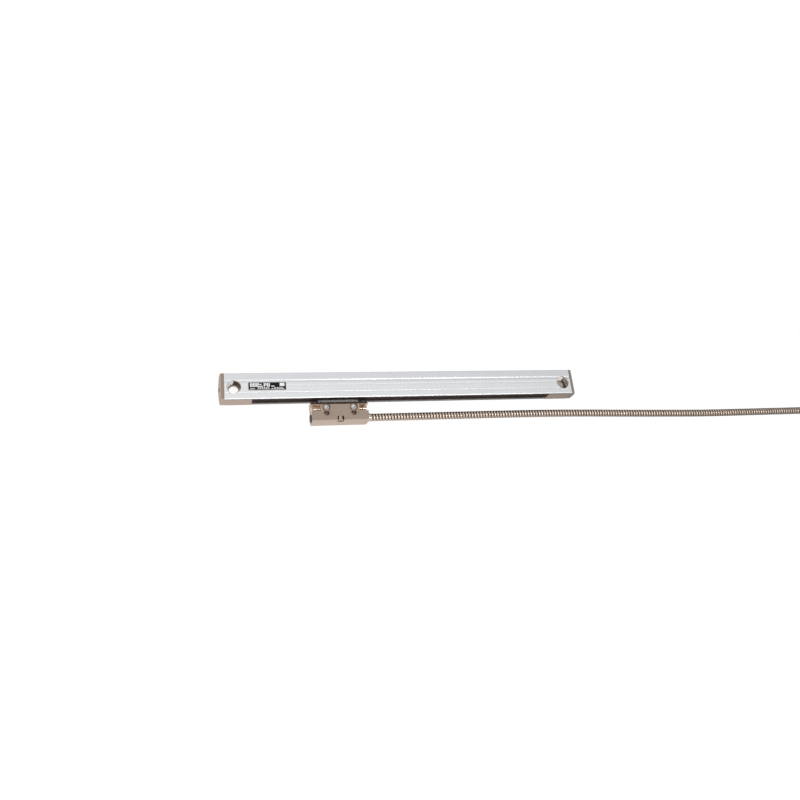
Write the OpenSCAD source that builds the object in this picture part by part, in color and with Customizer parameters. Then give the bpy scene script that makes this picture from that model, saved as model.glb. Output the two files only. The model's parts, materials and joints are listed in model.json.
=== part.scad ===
// Sealed linear glass scale: a slotted profile with a glass rule inside, and a reading head
// that slides along it on a sealed blade, with an armoured conduit and its connector.
// X runs along the scale, Z points away from the mounting face, and the slot looks to -Y.
// The origin lies on the mounting face, midway between the two end mounting holes.

/* [Profile] */
// Overall length over both end blocks
overall_length = 331.4; // [322:0.2:400]
// Height of the profile, from the slot edge to the far edge
profile_height = 24; // [23.6:0.1:26]
// Depth of the profile, from the mounting face to the front face
profile_depth = 15; // [14.8:0.1:16]
// Front wall
front_wall = 1.5; // [1.2:0.1:1.7]
// Wall on the side away from the slot
top_wall = 1.8; // [1.5:0.1:2]
// Back wall
back_wall = 2; // [1.6:0.1:2.1]
// Thickness of the two rails beside the slot, from the outer faces
rail_depth = 3.4; // [3.2:0.1:3.7]
// Height of the rails above the slot edge
rail_height = 3.6; // [3.4:0.1:3.8]
// Corner radius of the profile
corner_r = 0.8; // [0.4:0.1:1.2]
// Depth of the shallow lines along the front face
face_line_depth = 0.2; // [0.1:0.05:0.3]

/* [End blocks] */
// Length of an end block along the slot side, over its flange
block_length = 27.7; // [26:0.1:30]
// Thickness of the flange that shows past the profile's end
flange_t = 4.8; // [4:0.1:5.4]
// Bulge of the flange's outer face
flange_crown = 0.9; // [0.6:0.1:1.2]
// Flat part of the flange's front, before the slope to its outer face
flange_flat = 2.6; // [2:0.1:3]
// Depth of the slope between the flange's front and its outer face
flange_slope = 9; // [5:0.5:10]
// Outer face of a flange to the middle of its mounting hole
hole_inset = 12.7; // [12.4:0.1:13.2]
// Slot edge of the profile to the line of the mounting holes
edge_to_holes = 11.2; // [10.8:0.1:11.8]
// Diameter of the end mounting holes
mount_hole_d = 8; // [6.6:0.1:8.4]
// Diameter of the round window in the front wall over each mounting hole
window_d = 12.3; // [11.6:0.1:12.6]
// Depth of the conical screw seat below the front wall
seat_depth = 4.6; // [4:0.1:5.5]
// Length of the rubber seal at each end of the slot
end_seal_length = 3; // [2:0.5:3.5]

/* [Glass] */
// Thickness of the glass rule
glass_t = 2; // [1.8:0.1:2.1]
// Height of the glass rule
glass_height = 11.4; // [11.2:0.1:11.5]
// Height of the ribs that hold the glass
glass_rib_height = 3.4; // [3:0.1:3.5]
// Thickness of the elastic cushion round the glass edge
cushion_t = 0.3; // [0.2:0.05:0.4]

/* [Reading head] */
// Length of the reading head
head_length = 50; // [49:0.5:52]
// Gap between the profile's slot edge and the head
head_gap = 2.4; // [2:0.1:2.8]
// Slot edge to the far side of the head
head_drop = 21; // [20.8:0.1:22]
// Distance between the head's two mounting holes
head_hole_spacing = 24; // [23.6:0.1:24.6]
// Diameter of the head's mounting holes
head_hole_d = 4.5; // [4:0.1:4.6]
// Slot edge to the head's mounting holes
head_hole_drop = 14; // [13.9:0.1:14.2]
// Resting place of the head's middle along the scale
head_x = -63; // [-80:1:60]
// Thickness of the blade that passes the sealing lips
blade_t = 1; // [0.8:0.1:1.1]
// Clearance between the blade and each lip
lip_clearance = 0.25; // [0.2:0.05:0.35]

/* [Carriage] */
// Length of the scanning carriage
carriage_length = 44; // [43:0.5:45]
// Outer diameter of the ball-bearing rollers
roller_d = 3; // [2.8:0.05:3.1]
// Width of the rollers
roller_w = 1.4; // [1.2:0.1:1.5]
// Diameter of the roller pins
pin_d = 1; // [0.8:0.05:1.2]
// Radial running clearance of the rollers on their pins
pin_clearance = 0.05; // [0.03:0.01:0.08]
// Gap between the rollers and the glass
rolling_gap = 0.05; // [0.03:0.01:0.1]

/* [Conduit] */
// Outer diameter of the armoured conduit
conduit_d = 7.1; // [6.6:0.1:7.2]
// Slot edge to the conduit's axis
conduit_drop = 16.9; // [16.8:0.05:17]
// Diameter of the coil at the middle of its turns
coil_d = 85.2; // [84:0.2:86]
// Turns beside each other and on each other in the coil
coil_rows = 3; // [3:1:3]

/* [Hidden] */

cut = 0.5;                                  // how far a cutting shape runs past a face
hole_fn = 48;

y_edge = -edge_to_holes;
y_top = y_edge + profile_height;
y_ceiling = y_top - top_wall;
z_front = profile_depth;
z_window = z_front - front_wall;
z_mid = profile_depth / 2;
y_rail_top = y_edge + rail_height;
end_x = overall_length / 2;
profile_end = end_x - flange_t;
block_end = end_x - block_length;
hole_x = end_x - hole_inset;

// sealing lips
groove_w = 1.4;
groove_d = 1.4;
groove_y = y_edge + rail_height - 1.5;      // middle of the groove
groove_play = 0.05;
rail_rebate = 0.8;                          // the front rail stops short of the slot edge
// share of the height, width and share of the depth of each flute
face_line_places = [[0.67, 2.4, 1], [0.5, 1.6, 0.4], [0.24, 0.8, 0.75]];
lip_thickness = 0.8;
lip_gap = blade_t / 2 + lip_clearance;      // from the slot's middle plane

// glass
glass_top = y_ceiling - cushion_t - 0.2;
glass_low = glass_top - glass_height;
glass_half = glass_t / 2;
glass_length = 2 * (block_end - end_seal_length - 0.5);
rib_t = 1.3;
y_rib_low = y_ceiling - glass_rib_height;
track_t = 0.04;
track_low = glass_low + 1.8;
track_h = 1.3;
mark_low = track_low + track_h + 0.3;
mark_h = 0.8;
mark_pitch = 50;
mark_w = 2;

// carriage, straddling the glass
carriage_play = 0.6;                        // to the walls and the ribs
leg_gap = 0.6;                              // between a leg and the glass
roller_r = roller_d / 2;
edge_roller_y = glass_low - rolling_gap - roller_r;
web_top = edge_roller_y - roller_r - 0.4;
web_low = web_top - 1.4;
leg_top = y_rib_low - carriage_play;
back_leg_low = back_wall + carriage_play;
back_leg_high = z_mid - glass_half - leg_gap;
front_leg_low = z_mid + glass_half + leg_gap;
front_leg_high = z_window - carriage_play;
face_roller_z = z_mid - glass_half - rolling_gap - roller_r;
face_roller_x = 18;
edge_roller_x = 12.5;
face_roller_y = glass_low + 0.3 + roller_w / 2;
pocket_play = 0.25;                         // round a roller in its pocket
pin_reach = 0.6;                            // how far a pin enters the carriage on each side
top_roller_y = leg_top - pin_reach - pocket_play - roller_w / 2;
face_pin_half = roller_w / 2 + pocket_play + pin_reach;
edge_pin_half = glass_half + leg_gap + pin_reach;
scan_y = track_low + 1.2;                   // middle of the scanned tracks
scan_h = 2.6;
scan_w = 9;
pad_x = 18;
pad_y = scan_y;

// drive between blade and carriage
flange_half = 13;                           // half length of the blade's flange in the hollow
flange_low = y_rail_top + 0.5;
flange_h = 0.9;
flange_w = 6;
drive_pin_x = 8;
drive_pin_d = 1.4;
drive_play = 0.08;
blade_half = 18;                            // half length where it passes the lips
blade_point = 4;                            // length of the wedge at each end

// reading head
y_head_top = y_edge - head_gap;
y_head_low = y_edge - head_drop;
head_half = head_length / 2;
head_height = y_head_top - y_head_low;
shoulder_h = 3.8;                           // sloping shoulder at the head's top front edge
shoulder_d = 5;
slit_depth = 9;
slit_play = 0.05;
slit_half = 16;
y_slit = y_head_top - slit_depth;
y_head_holes = y_edge - head_hole_drop;
clamp_drop = 5.2;                           // clamp screws above the mounting holes
y_clamp = y_head_holes + clamp_drop;
clamp_recess_d = 7;
clamp_recess_depth = 2.6;
z_clamp = z_front - clamp_recess_depth;
clamp_head_d = 4.6;
clamp_head_h = 2.2;
clamp_shank_d = 2.5;
spotface_d = 8.2;
spotface_depth = 0.4;
pocket_r = 3;
pocket_length = 8.2;
pocket_y = y_head_top - 7.1;
pocket_z = z_front - 4;
bracket_hole_depth = 2.4;
bracket_head_d = 4.6;
bracket_head_h = 2.6;
bracket_shank_d = 2.5;
notch_d = 5.6;
notch_h = 4;
notch_z = z_front - notch_d / 2;
lock_head_d = 5;
lock_head_l = 3.4;
lock_key = 2;
lock_key_depth = 1.5;
lock_shank_d = 2.5;
y_conduit = y_edge - conduit_drop;
z_conduit = z_mid + 0.1;
conduit_r = conduit_d / 2;
spigot_d = conduit_d + 0.1;
spigot_length = 8;
collar_d = conduit_d + 0.7;
collar_length = 2.4;
plug_d = 6.6;
plug_length = 6;
plug_head_d = 7.6;
passage_d = 2.8;
passage_y = y_head_low + 2.4;
cavity_half = 8.4;
cavity_low = y_head_low + 4.4;
cavity_high = y_head_top - 4.6;
cavity_top = z_mid - blade_t / 2 - slit_play;
cover_t = 1.2;
cover_half = 9.2;
cover_margin = 3.2;                         // cover past the cavity, along Y
cover_low = cavity_low - cover_margin;
cover_high = cavity_high + cover_margin;
board_t = 0.8;
board_z = cover_t + 1.6;
flex_t = 0.15;
flex_w = 6;

// conduit route to the coil, chosen by hand
run_points = [
    [-35.6, -28.1, 7.6], [-24, -28.1, 7.6], [-12, -28.1, 7.6], [4, -28.1, 7.5], [20, -28, 7.3],
    [38, -27.9, 7], [56, -27.8, 6.7], [74, -27.7, 6.4], [92, -27.6, 6], [110, -27.5, 5.6],
    [128, -27.5, 5.2], [146, -27.6, 4.8], [164, -27.8, 4.5], [182, -28.1, 4.2], [200, -28.5, 3.9],
    [220, -29, 3.7], [240, -29.5, 3.6], [262, -30, 3.6], [284, -30.5, 3.6], [308, -30.9, 3.6],
    [332, -31, 3.6], [356, -31, 3.6], [380, -31, 3.6], [404, -31, 3.6], [428, -31, 3.8],
    [452, -31, 4.1], [476, -31, 4.4], [500, -31, 4.5]];
coil_centre = [500, 18.7];
coil_low = 0.9;
coil_mid_r = coil_d / 2;
coil_half = coil_rows * conduit_d / 2;
coil_high = coil_low + coil_rows * conduit_d;
tie_t = 0.7;
tie_play = 0.05;
tie_w = 10;
tie_span = tie_w / coil_mid_r * 180 / PI;   // degrees round the coil
tie_angles = [60, 200];

// connector, lying on the coil and pointing to -X
hood_l = 36;
hood_w = 31;
hood_h = 15;
hood_wall = 2.2;
hood_neck_l = 9;
hood_neck_w = 14;
hood_rear_w = 11;
hood_shoulder = 16;                         // from the rear face to the full width
hood_corner_r = 1.5;
connector_y = 47.7;
connector_z = coil_high + 0.05 + hood_h / 2;
connector_x = 492;                          // rear face of the hood
tail_points = [
    [500, -16.8, 18.7], [510.2, -15.1, 19], [519.4, -10, 19.7], [526.7, -2.2, 21],
    [531.4, 7.7, 22.5], [533, 18.7, 24.2], [531.6, 27.7, 25.9], [527.5, 35.7, 27.5],
    [521, 42.2, 28.7], [513, 46.3, 29.5], [504, 47.7, 29.75], [502, 47.7, 29.75]];
shell_w = 16.9;
shell_h = 8.3;
shell_reach = 6;
plate_w = 30.8;
plate_h = 12.5;
plate_t = 1;
screw_pitch = 25;
screw_d = 2.8;
knob_d = 6;
knob_l = 8;
contact_d = 1;
contact_pitch = 2.77;
contact_row = 2.84;

tube_sides = 10;

// ---- helpers ----

// extrudes a section drawn in Y and Z along X
module along_x(x0, x1)
    translate([x0, 0, 0]) rotate([90, 0, 90]) linear_extrude(x1 - x0) children();

// extrudes a section drawn in Y and Z, between two planes of equal distance from x = 0
module along_x_half(half) along_x(-half, half) children();

// a box from its lowest and highest corners
module block(a, b) translate(a) cube(b - a);

// a rectangle from its lowest and highest corners
module rect(a, b) translate(a) square(b - a);

module rod_x(r, x0, x1) translate([x0, 0, 0]) rotate([0, 90, 0]) cylinder(r = r, h = x1 - x0, $fn = hole_fn);
module rod_y(r, y0, y1) translate([0, y0, 0]) rotate([-90, 0, 0]) cylinder(r = r, h = y1 - y0, $fn = hole_fn);
module rod_z(r, z0, z1) translate([0, 0, z0]) cylinder(r = r, h = z1 - z0, $fn = hole_fn);

// hexagon socket to cut into a screw head, across flats af
module hex_socket(af, depth) cylinder(r = af / sqrt(3), h = depth, $fn = 6);

module mirrored_x() {
    children();
    mirror([1, 0, 0]) children();
}

module rounded_rect(a, b, r) {
    rect(a + [r, 0], b - [r, 0]);
    rect(a + [0, r], b - [0, r]);
    for (y = [a[0] + r, b[0] - r], z = [a[1] + r, b[1] - r])
        translate([y, z]) circle(r = r, $fn = 32);
}

// ---- profile ----

module profile_outline() rounded_rect([y_edge, 0], [y_top, z_front], corner_r);

// hollow of the profile, with the ribs that hold the glass left standing
module hollow_outline() {
    difference() {
        rect([y_rail_top, back_wall], [y_ceiling, z_window]);
        for (side = [-1, 1])
            rib_outline(side);
    }
    rect([y_edge - cut, rail_depth], [y_rail_top + cut, z_front - rail_depth]);
    rect([y_edge - cut, rail_depth], [y_edge + rail_rebate, z_window]);
}

module rib_outline(side) {
    inner = z_mid + side * (glass_half + cushion_t);
    outer = inner + side * rib_t;
    rect([y_rib_low, min(inner, outer)], [y_ceiling + cut, max(inner, outer)]);
}

module lip_groove_outline()
    for (wall = [rail_depth - groove_d, z_front - rail_depth - cut])
        rect([groove_y - groove_w / 2, wall],
             [groove_y + groove_w / 2, wall + groove_d + cut]);

// shallow flutes that the extrusion carries along its front face
module face_lines()
    for (line = face_line_places) {
        depth = line[2] * face_line_depth;
        flute_r = (pow(line[1] / 2, 2) + pow(depth, 2)) / (2 * depth);
        translate([y_edge + line[0] * profile_height, z_front + flute_r - depth])
            circle(r = flute_r, $fn = hole_fn);
    }

module housing() {
    color([0.86, 0.87, 0.89])
    difference() {
        along_x_half(profile_end)
            difference() {
                profile_outline();
                hollow_outline();
                lip_groove_outline();
                face_lines();
            }
        mirrored_x() {
            // the end block takes the place of the back wall and the rails here
            block([block_end, y_edge - cut, -cut], [profile_end + cut, y_ceiling, z_window]);
            translate([hole_x, 0, 0]) rod_z(window_d / 2, z_window - cut, z_front + cut);
            end_screw_places() translate([0, y_ceiling - cut, 0]) {
                rod_y(end_screw_d / 2 + 0.1, 0, top_wall + 2 * cut);
                translate([0, cut + top_wall - end_screw_head_h, 0]) end_screw_cone(cut);
            }
        }
    }
}

// ---- end blocks ----

end_screw_d = 2.5;
end_screw_head_d = 4.6;
end_screw_head_h = 1.1;
end_screw_length = 6;
end_screw_inset = 4;
end_screw_short = 0.5;                      // left free at the bottom of its hole
end_screw_key = 1.5;
end_screw_key_depth = 0.9;
port_screw_d = 4;
port_boss_d = 7;

module end_screw_places()
    for (x = [block_end + end_screw_inset, profile_end - end_screw_inset])
        translate([x, 0, z_mid]) children();

// countersunk head, widening towards +Y and run past the surface by extra
module end_screw_cone(extra)
    rotate([-90, 0, 0]) {
        cylinder(r1 = end_screw_d / 2, r2 = end_screw_head_d / 2, h = end_screw_head_h, $fn = hole_fn);
        translate([0, 0, end_screw_head_h])
            cylinder(r = end_screw_head_d / 2, h = extra, $fn = hole_fn);
    }

module end_block() {
    crown_r = (pow(profile_height / 2, 2) + pow(flange_crown, 2)) / (2 * flange_crown);
    color([0.68, 0.6, 0.53])
    difference() {
        union() {
            block([block_end, y_edge, 0], [profile_end, y_ceiling, z_window]);
            intersection() {
                along_x(profile_end, end_x) profile_outline();
                translate([end_x - crown_r, (y_edge + y_top) / 2, -cut])
                    cylinder(r = crown_r, h = profile_depth + 2 * cut, $fn = 180);
            }
        }
        // long slope from the flange's front to its outer face
        translate([0, y_top + cut, 0]) rotate([90, 0, 0])
            linear_extrude(profile_height + 2 * cut)
                polygon([
                    [profile_end + flange_flat, z_front + cut], [profile_end + flange_flat, z_front],
                    [end_x, z_front - flange_slope], [end_x + cut, z_front - flange_slope],
                    [end_x + cut, z_front + cut]]);
        translate([hole_x, 0, 0]) {
            rod_z(mount_hole_d / 2, -cut, z_front);
            translate([0, 0, z_window - seat_depth])
                cylinder(r1 = mount_hole_d / 2, r2 = window_d / 2, h = seat_depth, $fn = hole_fn);
        }
        end_screw_places() rod_y(end_screw_d / 2, y_ceiling - end_screw_length, y_ceiling + cut);
        translate([0, 0, z_mid]) rod_x(port_screw_d / 2, end_x - 5, end_x + cut);
    }
}

module end_block_right() end_block();
module end_block_left() mirror([1, 0, 0]) end_block();

module end_block_screws()
    color([0.75, 0.76, 0.78])
    mirrored_x() end_screw_places()
        translate([0, y_top, 0])
            difference() {
                union() {
                    rod_y(end_screw_d / 2, end_screw_short - top_wall - end_screw_length, -end_screw_head_h);
                    translate([0, -end_screw_head_h, 0]) end_screw_cone(0);
                }
                translate([0, cut, 0]) rotate([90, 0, 0])
                    hex_socket(end_screw_key, end_screw_key_depth + cut);
            }

module port_plug_screws()
    color([0.2, 0.2, 0.21])
    mirrored_x()
        translate([end_x, 0, z_mid])
            difference() {
                rod_x(port_screw_d / 2, -4.5, -0.6);
                translate([-0.5, 0, 0]) rotate([0, -90, 0]) hex_socket(2, 1.6);
            }

// rubber block that closes the hollow and the slot against the end block
module end_seal() {
    lip_play = 0.3;
    color([0.05, 0.05, 0.055])
    along_x(block_end - end_seal_length, block_end) {
        difference() {
            rect([y_rail_top, back_wall], [y_ceiling, z_window]);
            for (side = [-1, 1])
                rib_outline(side);
        }
        rect([y_edge + lip_play, rail_depth], [y_rail_top, z_front - rail_depth]);
        rect([y_edge + lip_play, rail_depth], [y_edge + rail_rebate, z_window]);
    }
}
module end_seal_right() end_seal();
module end_seal_left() mirror([1, 0, 0]) end_seal();

// ---- sealing lips ----

// section of the lip on the back rail; the front one is its mirror image with a skirt
module lip_outline(skirt) {
    wall = rail_depth;
    root_half = groove_w / 2 - groove_play;
    heel = skirt
        ? [[y_edge + 0.3, wall], [y_edge + 0.3, front_wall],
           [y_edge + rail_rebate, front_wall], [y_edge + rail_rebate, wall]]
        : [[y_edge + rail_rebate, wall]];
    polygon(concat([
        [groove_y - root_half, wall - groove_d + groove_play],
        [groove_y + root_half, wall - groove_d + groove_play],
        [groove_y + root_half, wall],
        [groove_y + root_half + 0.4, wall],
        [groove_y + root_half + 0.4, wall + lip_thickness],
        [y_edge + 1.8, wall + lip_thickness],
        [y_edge + 1.2, wall + 1.4],
        [y_edge + 0.8, z_mid - lip_gap],
        [y_edge + 0.35, z_mid - lip_gap],
        [y_edge + 0.1, z_mid - lip_gap - 0.3],
        [y_edge + 0.2, wall + groove_play]], heel, [
        [groove_y - root_half, wall]]));
}

module seal_lip_back()
    color([0.07, 0.07, 0.075])
    along_x_half(block_end - end_seal_length) lip_outline(false);

module seal_lip_front()
    color([0.07, 0.07, 0.075])
    along_x_half(block_end - end_seal_length)
        translate([0, z_front]) mirror([0, 1]) lip_outline(true);

// ---- glass rule ----

module glass_scale()
    color([0.75, 0.85, 0.85, 0.6])
    block([-glass_length / 2, glass_low, z_mid - glass_half],
          [glass_length / 2, glass_top, z_mid + glass_half]);

// elastic bead between the glass edge, the two ribs and the ceiling
module glass_cushion()
    color([0.85, 0.85, 0.8])
    along_x_half(glass_length / 2)
        difference() {
            rect([y_rib_low + 0.4, z_mid - glass_half - cushion_t],
                 [y_ceiling, z_mid + glass_half + cushion_t]);
            rect([y_rib_low, z_mid - glass_half], [glass_top, z_mid + glass_half]);
        }

module graduation()
    color([0.5, 0.5, 0.52])
    block([-glass_length / 2 + 2, track_low, z_mid - glass_half - track_t],
          [glass_length / 2 - 2, track_low + track_h, z_mid - glass_half]);

module reference_marks() {
    count = floor((glass_length / 2 - 10) / mark_pitch);
    color([0.5, 0.5, 0.52])
    for (i = [-count : count])
        translate([i * mark_pitch, 0, z_mid - glass_half])
            block([-mark_w / 2, mark_low, -track_t], [mark_w / 2, mark_low + mark_h, 0]);
}

label_t = 0.2;
label_inset = 24.7;                         // from the flange's outer face
label_x = label_inset - end_x;
label_l = 32.4;
label_h = 7.4;
label_y = 0.3;

module label_plate()
    color([0.1, 0.1, 0.1])
    block([label_x, label_y - label_h / 2, z_front],
          [label_x + label_l, label_y + label_h / 2, z_front + label_t]);

// ---- reading head, drawn about its own middle ----

module at_head() translate([head_x, 0, 0]) children();

module head_outline()
    polygon([
        [y_head_low, 0.5], [y_head_low + 0.5, 0], [y_head_top, 0],
        [y_head_top, z_front - shoulder_d], [y_head_top - shoulder_h, z_front],
        [y_head_low + 0.6, z_front], [y_head_low, z_front - 0.6]]);

module head_block()
    color([0.66, 0.59, 0.53])
    at_head()
    difference() {
        along_x_half(head_half) head_outline();
        // rounded end of the far edge on the conduit side
        translate([head_half - 3, y_head_low - cut, -cut]) rotate([-90, 0, 0]) translate([0, -3 - cut, 0])
            difference() {
                cube([3 + cut, 3 + cut, head_height + 2 * cut]);
                translate([0, 0, -cut]) cylinder(r = 3, h = head_height + 4 * cut, $fn = hole_fn);
            }
        // slit for the blade
        block([-slit_half, y_slit, z_mid - blade_t / 2 - slit_play],
              [slit_half, y_head_top + cut, z_mid + blade_t / 2 + slit_play]);
        for (side = [-1, 1]) {
            translate([side * head_hole_spacing / 2, y_head_holes, 0]) {
                rod_z(head_hole_d / 2, -cut, z_front + cut);
                rod_z(spotface_d / 2, z_front - spotface_depth, z_front + cut);
            }
            translate([side * head_hole_spacing / 2, y_clamp, 0]) {
                rod_z(clamp_recess_d / 2, z_clamp, z_front + cut);
                rod_z(clamp_shank_d / 2, 2.6, z_front);
            }
            // open pocket with a cross screw, at each end
            translate([0, pocket_y, pocket_z]) mirror([side < 0 ? 1 : 0, 0, 0]) {
                rod_x(pocket_r, head_half - pocket_length, head_half + cut);
                block([head_half - pocket_length, -pocket_r, 0],
                      [head_half + cut, pocket_r, z_front - pocket_z + cut]);
                rod_x(bracket_shank_d / 2, head_half - pocket_length - bracket_hole_depth, head_half);
            }
        }
        // notch with the lock screw, open to the front and to the far side
        translate([0, 0, notch_z]) rod_y(notch_d / 2, y_head_low - cut, y_head_low + notch_h);
        block([-notch_d / 2, y_head_low - cut, notch_z], [notch_d / 2, y_head_low + notch_h, z_front + cut]);
        translate([0, 0, notch_z]) rod_y(lock_shank_d / 2, y_head_low, y_head_low + notch_h + 5);
        // room for the flex cable beside the blade
        block([-flex_w / 2 - 0.3, y_slit, cavity_top - 0.3],
              [flex_w / 2 + 0.3, y_head_top + cut, z_mid]);
        // conduit bore, plugged bore and the wire passage between them
        translate([0, y_conduit, z_conduit]) {
            rod_x(spigot_d / 2, head_half - spigot_length, head_half + cut);
            rod_x(plug_d / 2, -head_half - cut, -head_half + plug_length);
        }
        translate([0, passage_y, z_mid]) rod_x(passage_d / 2, -head_half + plug_length - cut,
                                               head_half - spigot_length + cut);
        // room for the board, with its cover let in
        block([-cavity_half, cavity_low, -cut], [cavity_half, cavity_high, cavity_top + slit_play]);
        block([-cover_half, cover_low, -cut], [cover_half, cover_high, cover_t]);
        cover_screw_places() rod_z(cover_screw_r, 0, 4.2);
        block([3, passage_y, 5], [7, cavity_low + cut, cavity_top]);
    }

cover_screw_r = 0.8;
cover_screw_head_r = 1.35;

module cover_screw_places()
    for (y = [cavity_low - cover_margin / 2, cavity_high + cover_margin / 2])
        translate([0, y, 0]) children();

module head_cover()
    color([0.66, 0.59, 0.53])
    at_head()
    difference() {
        block([-cover_half + 0.1, cover_low + 0.1, 0.05], [cover_half - 0.1, cover_high - 0.1, cover_t]);
        cover_screw_places() {
            rod_z(cover_screw_r + 0.1, -cut, cover_t + cut);
            cylinder(r1 = cover_screw_head_r, r2 = cover_screw_r + 0.1, h = 0.8, $fn = hole_fn);
        }
    }

module cover_screws()
    color([0.75, 0.76, 0.78])
    at_head()
    cover_screw_places()
        difference() {
            union() {
                translate([0, 0, 0.15])
                    cylinder(r1 = cover_screw_head_r - 0.15, r2 = cover_screw_r, h = 0.6, $fn = hole_fn);
                rod_z(cover_screw_r, 0.75, 4);
            }
            translate([0, 0, 0.1]) hex_socket(0.9, 0.5);
        }

module amplifier_board()
    color([0.1, 0.35, 0.2])
    at_head() {
        block([-cavity_half + 0.3, cavity_low + 0.3, board_z],
              [cavity_half - 0.3, cavity_high - 0.3, board_z + board_t]);
        // chips and the wire terminals
        block([-7.2, cavity_low + 3.4, board_z + board_t], [-3.6, cavity_low + 8.4, board_z + board_t + 1.1]);
        block([3.8, cavity_low + 4, board_z + board_t], [7, cavity_low + 8, board_z + board_t + 0.9]);
        for (i = [-2 : 2])
            block([i * 2.4 - 0.6, cavity_low + 1, board_z + board_t],
                  [i * 2.4 + 0.6, cavity_low + 2.6, board_z + board_t + 0.7]);
    }

// blade: wedge-ended where it parts the lips, a plate in the head, a flange at the carriage
module arm_blade()
    color([0.72, 0.73, 0.75])
    at_head()
    difference() {
        union() {
            translate([0, y_head_top + 0.3, z_mid]) rotate([-90, 0, 0])
                linear_extrude(flange_low - y_head_top - 0.3)
                    polygon([
                        [-blade_half, 0], [-blade_half + blade_point, blade_t / 2],
                        [blade_half - blade_point, blade_t / 2], [blade_half, 0],
                        [blade_half - blade_point, -blade_t / 2], [-blade_half + blade_point, -blade_t / 2]]);
            block([-slit_half + 0.5, y_slit + 0.3, z_mid - blade_t / 2],
                  [slit_half - 0.5, y_head_top + 0.4, z_mid + blade_t / 2]);
            block([-flange_half, flange_low, z_mid - flange_w / 2],
                  [flange_half, flange_low + flange_h, z_mid + flange_w / 2]);
        }
        for (side = [-1, 1]) {
            translate([side * head_hole_spacing / 2, y_clamp, 0]) rod_z(clamp_shank_d / 2, 0, z_front);
            translate([side * drive_pin_x, 0, z_mid]) rod_y(drive_pin_d / 2, flange_low - cut, leg_top);
        }
        // the flex cable passes the flange in this notch
        block([-flex_w / 2 - 0.3, flange_low - cut, z_mid - flange_w / 2 - cut],
              [flex_w / 2 + 0.3, flange_low + flange_h + cut, z_mid - blade_t / 2]);
    }

module drive_pins()
    color([0.8, 0.8, 0.82])
    at_head()
    for (side = [-1, 1])
        translate([side * drive_pin_x, 0, z_mid]) {
            rod_y(drive_pin_d / 2, flange_low, web_top - 0.8);
            translate([0, web_top - 0.8, 0]) rotate([-90, 0, 0])
                cylinder(r1 = drive_pin_d / 2, r2 = drive_pin_d / 4, h = 0.6, $fn = hole_fn);
        }

module arm_clamp_screws()
    color([0.86, 0.87, 0.88])
    at_head()
    for (side = [-1, 1])
        translate([side * head_hole_spacing / 2, y_clamp, 0])
            difference() {
                union() {
                    rod_z(clamp_shank_d / 2, 3.2, z_clamp);
                    rod_z(clamp_head_d / 2, z_clamp, z_clamp + clamp_head_h);
                }
                translate([0, 0, z_clamp + 0.9]) hex_socket(2, 3);
            }

module bracket_screws()
    color([0.8, 0.76, 0.7])
    at_head()
    mirrored_x() translate([head_half, pocket_y, pocket_z])
        difference() {
            union() {
                rod_x(bracket_shank_d / 2, -pocket_length - bracket_hole_depth + 0.2, -bracket_head_h - 1.6);
                rod_x(bracket_head_d / 2, -bracket_head_h - 1.6, -1.6);
            }
            block([-2.5, -0.35, -3], [0, 0.35, 3]);
        }

module lock_screw()
    color([0.72, 0.68, 0.62])
    at_head()
    translate([0, y_head_low + notch_h, notch_z])
        difference() {
            union() {
                rod_y(lock_shank_d / 2, 0, 4.6);
                rod_y(lock_head_d / 2, -lock_head_l, 0);
            }
            translate([0, -lock_head_l - cut, 0]) rotate([-90, 0, 0])
                hex_socket(lock_key, lock_key_depth + cut);
        }

module exit_plug()
    color([0.06, 0.06, 0.065])
    at_head()
    translate([-head_half, y_conduit, z_conduit]) {
        rod_x(plug_d / 2 - 0.03, 0, plug_length - 0.5);
        rod_x(plug_head_d / 2, -0.6, 0);
        rotate([0, -90, 0]) translate([0, 0, 0.6])
            cylinder(r1 = plug_head_d / 2, r2 = plug_head_d / 2 - 0.9, h = 0.5, $fn = hole_fn);
    }

module conduit_ferrule()
    color([0.8, 0.78, 0.74])
    at_head()
    translate([head_half, y_conduit, z_conduit])
        difference() {
            union() {
                rod_x(spigot_d / 2, -spigot_length + 0.3, 0);
                rod_x(collar_d / 2, 0, collar_length - 0.7);
                rod_x(collar_d / 2 - 0.35, collar_length - 0.7, collar_length);
            }
            rod_x(2.2, -spigot_length - cut, collar_length + cut);
        }

// ---- scanning carriage ----

module face_roller_places()
    for (place = [[-face_roller_x, face_roller_y], [face_roller_x, face_roller_y], [0, top_roller_y]])
        translate([place[0], place[1], face_roller_z]) children();

module edge_roller_places()
    for (x = [-edge_roller_x, edge_roller_x])
        translate([x, edge_roller_y, z_mid]) children();

module carriage_outline() {
    rect([web_low, back_leg_low], [web_top, front_leg_high]);
    rect([web_low, back_leg_low], [leg_top, back_leg_high]);
    rect([web_low, front_leg_low], [leg_top, front_leg_high]);
}

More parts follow.
